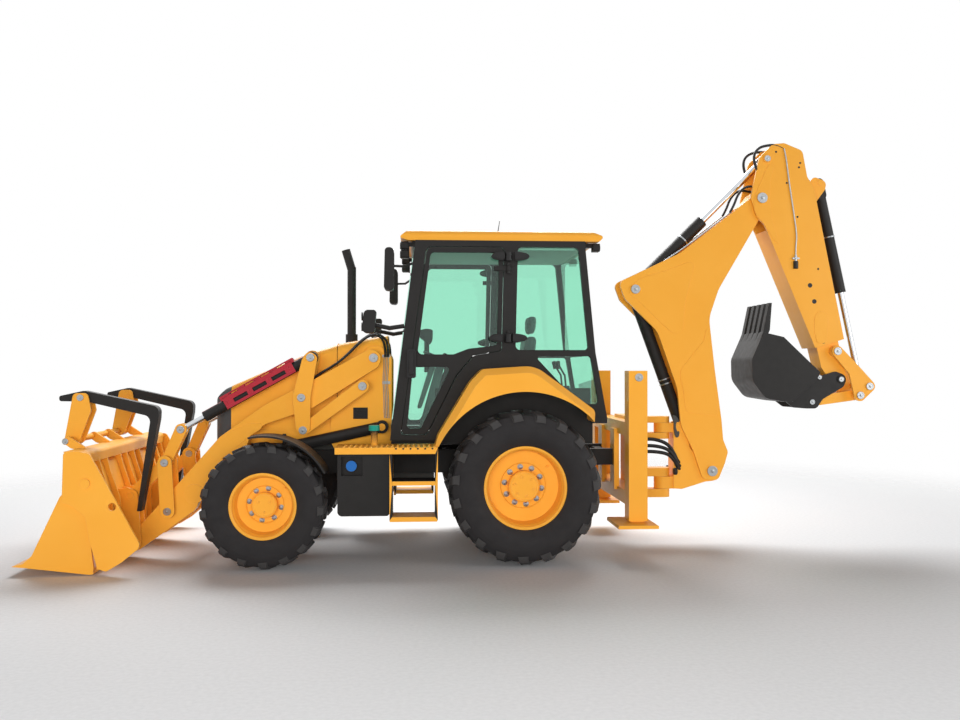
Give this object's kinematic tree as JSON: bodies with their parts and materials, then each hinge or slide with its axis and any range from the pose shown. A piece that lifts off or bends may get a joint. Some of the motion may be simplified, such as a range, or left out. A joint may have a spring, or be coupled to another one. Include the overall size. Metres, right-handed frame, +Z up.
{
  "type": "backhoe loader",
  "caption": "Wheeled tractor with a clamshell loader bucket and fold-over forks in front, an enclosed cab, and a side-shift backhoe with an extending stick behind.",
  "frame": {"origin": "on the ground under the middle of the machine's length and width", "axes": "+X forward to the loader bucket, +Y to the driver's left, +Z up"},
  "size_m": [7.67, 2.428, 3.8482],
  "materials": {
    "yellow_paint": "satin factory paint",
    "black_paint": "satin black paint",
    "tyre_rubber": "moulded rubber",
    "chrome_rod": "hard chrome",
    "steel_pin": "bare machined steel",
    "cab_glass": "tinted safety glass",
    "trim_plastic": "moulded plastic",
    "cast_block": "painted casting"
  },
  "bodies": {
    "chassis": {"main_frame": "yellow_paint", "axles": "black_paint", "engine": "cast_block", "exhaust": "black_paint", "side_tanks": "black_paint", "cab_frame": "black_paint", "cab_roof": "yellow_paint", "cab_glass": "cab_glass", "operator_station": "trim_plastic", "body_panels": "yellow_paint", "rear_frame": "yellow_paint"},
    "hood": {"hood": "yellow_paint", "grille": "trim_plastic"},
    "door_left": {"door_left": "black_paint", "door_glass_left": "cab_glass"},
    "door_right": {"door_right": "black_paint", "door_glass_right": "cab_glass"},
    "knuckle_left": {"knuckle_left": "black_paint"},
    "knuckle_right": {"knuckle_right": "black_paint"},
    "front_wheel_left": {"front_tyre_left": "tyre_rubber", "front_rim_left": "yellow_paint"},
    "front_wheel_right": {"front_tyre_right": "tyre_rubber", "front_rim_right": "yellow_paint"},
    "rear_wheel_left": {"rear_tyre_left": "tyre_rubber", "rear_rim_left": "yellow_paint"},
    "rear_wheel_right": {"rear_tyre_right": "tyre_rubber", "rear_rim_right": "yellow_paint"},
    "loader_arms": {"loader_arms": "yellow_paint"},
    "lift_barrels": {"lift_barrels": "black_paint"},
    "lift_rods": {"lift_rods": "chrome_rod"},
    "lower_links": {"lower_links": "yellow_paint"},
    "bellcranks": {"bellcranks": "yellow_paint", "tilt_pins": "steel_pin"},
    "tilt_barrels": {"tilt_barrels": "black_paint"},
    "tilt_rods": {"tilt_rods": "chrome_rod"},
    "hinge_pins": {"hinge_pins": "steel_pin"},
    "lower_link_pins": {"lower_link_pins": "steel_pin"},
    "upper_link_pins": {"upper_link_pins": "steel_pin"},
    "short_links": {"short_links": "yellow_paint"},
    "levers": {"levers": "yellow_paint"},
    "loader_bucket": {"loader_bucket": "yellow_paint"},
    "clam": {"clam": "yellow_paint"},
    "fork_carriers": {"fork_carriers": "yellow_paint"},
    "fork_tines": {"fork_tines": "black_paint"},
    "stabilizer_left": {"stabilizer_left": "yellow_paint"},
    "stabilizer_right": {"stabilizer_right": "yellow_paint"},
    "carriage": {"carriage": "yellow_paint"},
    "swing_frame": {"swing_frame": "yellow_paint"},
    "boom": {"boom": "yellow_paint"},
    "boom_ram_barrel": {"boom_ram_barrel": "black_paint"},
    "boom_ram_rod": {"boom_ram_rod": "chrome_rod"},
    "stick_ram_barrel": {"stick_ram_barrel": "black_paint"},
    "stick_ram_rod": {"stick_ram_rod": "chrome_rod"},
    "stick_outer": {"stick_outer": "yellow_paint"},
    "stick_inner": {"stick_inner": "yellow_paint"},
    "hoe_ram_barrel": {"hoe_ram_barrel": "black_paint"},
    "hoe_ram_rod": {"hoe_ram_rod": "chrome_rod"},
    "rocker_links": {"rocker_links": "yellow_paint"},
    "bucket_link": {"bucket_link": "yellow_paint"},
    "hoe_bucket": {"hoe_bucket": "black_paint"}
  },
  "joints": [
    {"name": "hood_tilt", "type": "hinge", "parent": "chassis", "child": "hood", "pos_m": [1.301, 0, 1.899], "axis": [0, -1, 0], "range_deg": [0, 50]},
    {"name": "door_left_swing", "type": "hinge", "parent": "chassis", "child": "door_left", "pos_m": [-0.228, 0.742, 1.9], "axis": [0, 0, 1], "range_deg": [0, 85]},
    {"name": "door_right_swing", "type": "hinge", "parent": "chassis", "child": "door_right", "pos_m": [-0.228, -0.742, 1.9], "axis": [0, 0, -1], "range_deg": [0, 85]},
    {"name": "steer_left", "type": "hinge", "parent": "chassis", "child": "knuckle_left", "pos_m": [1.854, 0.8, 0.528], "axis": [0, 0, 1], "range_deg": [-40, 40]},
    {"name": "steer_right", "type": "hinge", "parent": "chassis", "child": "knuckle_right", "pos_m": [1.854, -0.8, 0.528], "axis": [0, 0, 1], "range_deg": [-40, 40]},
    {"name": "front_wheel_left_spin", "type": "hinge", "parent": "knuckle_left", "child": "front_wheel_left", "pos_m": [1.854, 0.947, 0.528], "axis": [0, 1, 0], "continuous": true},
    {"name": "rear_wheel_left_spin", "type": "hinge", "parent": "chassis", "child": "rear_wheel_left", "pos_m": [-0.346, 0.863, 0.66], "axis": [0, 1, 0], "continuous": true},
    {"name": "front_wheel_right_spin", "type": "hinge", "parent": "knuckle_right", "child": "front_wheel_right", "pos_m": [1.854, -0.947, 0.528], "axis": [0, 1, 0], "continuous": true},
    {"name": "rear_wheel_right_spin", "type": "hinge", "parent": "chassis", "child": "rear_wheel_right", "pos_m": [-0.346, -0.863, 0.66], "axis": [0, 1, 0], "continuous": true},
    {"name": "loader_lift", "type": "hinge", "parent": "chassis", "child": "loader_arms", "pos_m": [0.964, 0, 1.771], "axis": [0, -1, 0], "range_deg": [0, 77]},
    {"name": "lift_barrel_swing", "type": "hinge", "parent": "chassis", "child": "lift_barrels", "pos_m": [0.889, 0, 1.15], "axis": [0, -1, 0], "range_deg": [0, 64.87]},
    {"name": "lift_rod_slide", "type": "slide", "parent": "lift_barrels", "child": "lift_rods", "axis": [0.9777, 0, -0.2098], "range_m": [0, 0.69674]},
    {"name": "lower_link_swing", "type": "hinge", "parent": "chassis", "child": "lower_links", "pos_m": [1.061, 0, 1.518], "axis": [0, -1, 0], "range_deg": [0, 87.27]},
    {"name": "bellcrank_swing", "type": "hinge", "parent": "loader_arms", "child": "bellcranks", "pos_m": [1.598, 0, 1.417], "axis": [0, -1, 0], "range_deg": [-69.28, 0]},
    {"name": "hinge_pin_swing", "type": "hinge", "parent": "loader_arms", "child": "hinge_pins", "pos_m": [3.061, 0, 0.13], "axis": [0, -1, 0], "range_deg": [-57.26, 0]},
    {"name": "bucket_tilt", "type": "hinge", "parent": "hinge_pins", "child": "loader_bucket", "pos_m": [3.061, 0, 0.13], "axis": [0, 1, 0], "range_deg": [-20, 55]},
    {"name": "lower_link_pin_swing", "type": "hinge", "parent": "loader_arms", "child": "lower_link_pins", "pos_m": [2.76, 0, 0.421], "axis": [0, -1, 0], "range_deg": [-57.26, 0]},
    {"name": "short_link_swing", "type": "hinge", "parent": "lower_link_pins", "child": "short_links", "pos_m": [2.76, 0, 0.421], "axis": [0, 1, 0], "range_deg": [-20.01, 55.01]},
    {"name": "upper_link_pin_swing", "type": "hinge", "parent": "short_links", "child": "upper_link_pins", "pos_m": [2.786, 0, 0.848], "axis": [0, -1, 0], "range_deg": [0, 57.26]},
    {"name": "lever_swing", "type": "hinge", "parent": "upper_link_pins", "child": "levers", "pos_m": [2.786, 0, 0.848], "axis": [0, 1, 0], "range_deg": [-55.01, 20.01]},
    {"name": "tilt_barrel_swing", "type": "hinge", "parent": "bellcranks", "child": "tilt_barrels", "pos_m": [1.519, 0, 1.773], "axis": [0, -1, 0], "range_deg": [0, 66.13]},
    {"name": "tilt_rod_slide", "type": "slide", "parent": "tilt_barrels", "child": "tilt_rods", "axis": [0.873, 0, -0.4878], "range_m": [-0.13536, 0.37189]},
    {"name": "clam_open", "type": "hinge", "parent": "loader_bucket", "child": "clam", "pos_m": [3.246, 0, 0.747], "axis": [0, -1, 0], "range_deg": [0, 85]},
    {"name": "fork_fold", "type": "hinge", "parent": "loader_bucket", "child": "fork_carriers", "pos_m": [3.524, 0, 1.062], "axis": [0, -1, 0], "range_deg": [-180, 0]},
    {"name": "tine_fold", "type": "hinge", "parent": "fork_carriers", "child": "fork_tines", "pos_m": [3.454, 0, 1.425], "axis": [0, -1, 0], "range_deg": [-73.61, 0]},
    {"name": "stabilizer_left_slide", "type": "slide", "parent": "chassis", "child": "stabilizer_left", "axis": [0, 0, -1], "range_m": [0, 0.42]},
    {"name": "stabilizer_right_slide", "type": "slide", "parent": "chassis", "child": "stabilizer_right", "axis": [0, 0, -1], "range_m": [0, 0.42]},
    {"name": "side_shift", "type": "slide", "parent": "chassis", "child": "carriage", "axis": [0, 1, 0], "range_m": [-0.45, 0.45]},
    {"name": "swing", "type": "hinge", "parent": "carriage", "child": "swing_frame", "pos_m": [-1.791, 0, 0.8], "axis": [0, 0, 1], "range_deg": [-90, 90]},
    {"name": "boom_lower", "type": "hinge", "parent": "swing_frame", "child": "boom", "pos_m": [-2.248, 0, 0.695], "axis": [0, -1, 0], "range_deg": [0, 125]},
    {"name": "boom_barrel_swing", "type": "hinge", "parent": "swing_frame", "child": "boom_ram_barrel", "pos_m": [-1.986, 0, 1.115], "axis": [0, -1, 0], "range_deg": [0, 131]},
    {"name": "boom_rod_slide", "type": "slide", "parent": "boom_ram_barrel", "child": "boom_ram_rod", "axis": [0.3428, 0, 0.9394], "range_m": [0, 0.85841]},
    {"name": "stick_out", "type": "hinge", "parent": "boom", "child": "stick_outer", "pos_m": [-2.734, 0, 3.315], "axis": [0, 1, 0], "range_deg": [0, 115]},
    {"name": "stick_barrel_swing", "type": "hinge", "parent": "boom", "child": "stick_ram_barrel", "pos_m": [-1.505, 0, 2.433], "axis": [0, -1, 0], "range_deg": [0, 2.88]},
    {"name": "stick_rod_slide", "type": "slide", "parent": "stick_ram_barrel", "child": "stick_ram_rod", "axis": [-0.7124, 0, 0.7018], "range_m": [-0.6431, 0]},
    {"name": "stick_extend", "type": "slide", "parent": "stick_outer", "child": "stick_inner", "axis": [-0.2251, 0, -0.9743], "range_m": [0, 1.05]},
    {"name": "hoe_bucket_dump", "type": "hinge", "parent": "stick_inner", "child": "hoe_bucket", "pos_m": [-3.517, 0, 1.573], "axis": [0, 1, 0], "range_deg": [0, 170]},
    {"name": "rocker_swing", "type": "hinge", "parent": "stick_inner", "child": "rocker_links", "pos_m": [-3.465, 0, 1.843], "axis": [0, -1, 0], "range_deg": [-109.84, 0]},
    {"name": "bucket_link_swing", "type": "hinge", "parent": "rocker_links", "child": "bucket_link", "pos_m": [-3.687, 0, 1.418], "axis": [0, -1, 0], "range_deg": [0, 22.44]},
    {"name": "hoe_barrel_swing", "type": "hinge", "parent": "stick_inner", "child": "hoe_ram_barrel", "pos_m": [-3.351, 0, 3.491], "axis": [0, -1, 0], "range_deg": [-2.58, 0]},
    {"name": "hoe_rod_slide", "type": "slide", "parent": "hoe_ram_barrel", "child": "hoe_ram_rod", "axis": [-0.2107, 0, -0.9776], "range_m": [-0.75176, 0]}
  ],
  "couplings": [
    {"joint": "steer_right", "follows": "steer_left", "ratio": 1},
    {"joint": "lift_barrel_swing", "follows": "loader_lift", "ratio": 0.84229},
    {"joint": "lift_rod_slide", "follows": "loader_lift", "m_per_rad": 0.51829},
    {"joint": "lower_link_swing", "follows": "loader_lift", "ratio": 1.1332},
    {"joint": "bellcrank_swing", "follows": "loader_lift", "ratio": -0.89963},
    {"joint": "hinge_pin_swing", "follows": "loader_lift", "ratio": -0.74355},
    {"joint": "lower_link_pin_swing", "follows": "loader_lift", "ratio": -0.74355},
    {"joint": "short_link_swing", "follows": "bucket_tilt", "ratio": 1},
    {"joint": "upper_link_pin_swing", "follows": "loader_lift", "ratio": 0.74355},
    {"joint": "lever_swing", "follows": "bucket_tilt", "ratio": -1},
    {"joint": "tilt_barrel_swing", "follows": "loader_lift", "ratio": 0.85865},
    {"joint": "tilt_rod_slide", "follows": "bucket_tilt", "m_per_rad": 0.38721},
    {"joint": "tine_fold", "follows": "fork_fold", "ratio": 0.40889},
    {"joint": "boom_barrel_swing", "follows": "boom_lower", "ratio": 1.0479},
    {"joint": "boom_rod_slide", "follows": "boom_lower", "m_per_rad": 0.39337},
    {"joint": "stick_barrel_swing", "follows": "stick_out", "ratio": 0.024986},
    {"joint": "stick_rod_slide", "follows": "stick_out", "m_per_rad": -0.32031},
    {"joint": "rocker_swing", "follows": "hoe_bucket_dump", "ratio": -0.64604},
    {"joint": "bucket_link_swing", "follows": "hoe_bucket_dump", "ratio": 0.13192},
    {"joint": "hoe_barrel_swing", "follows": "hoe_bucket_dump", "ratio": -0.015104},
    {"joint": "hoe_rod_slide", "follows": "hoe_bucket_dump", "m_per_rad": -0.2533}
  ]
}
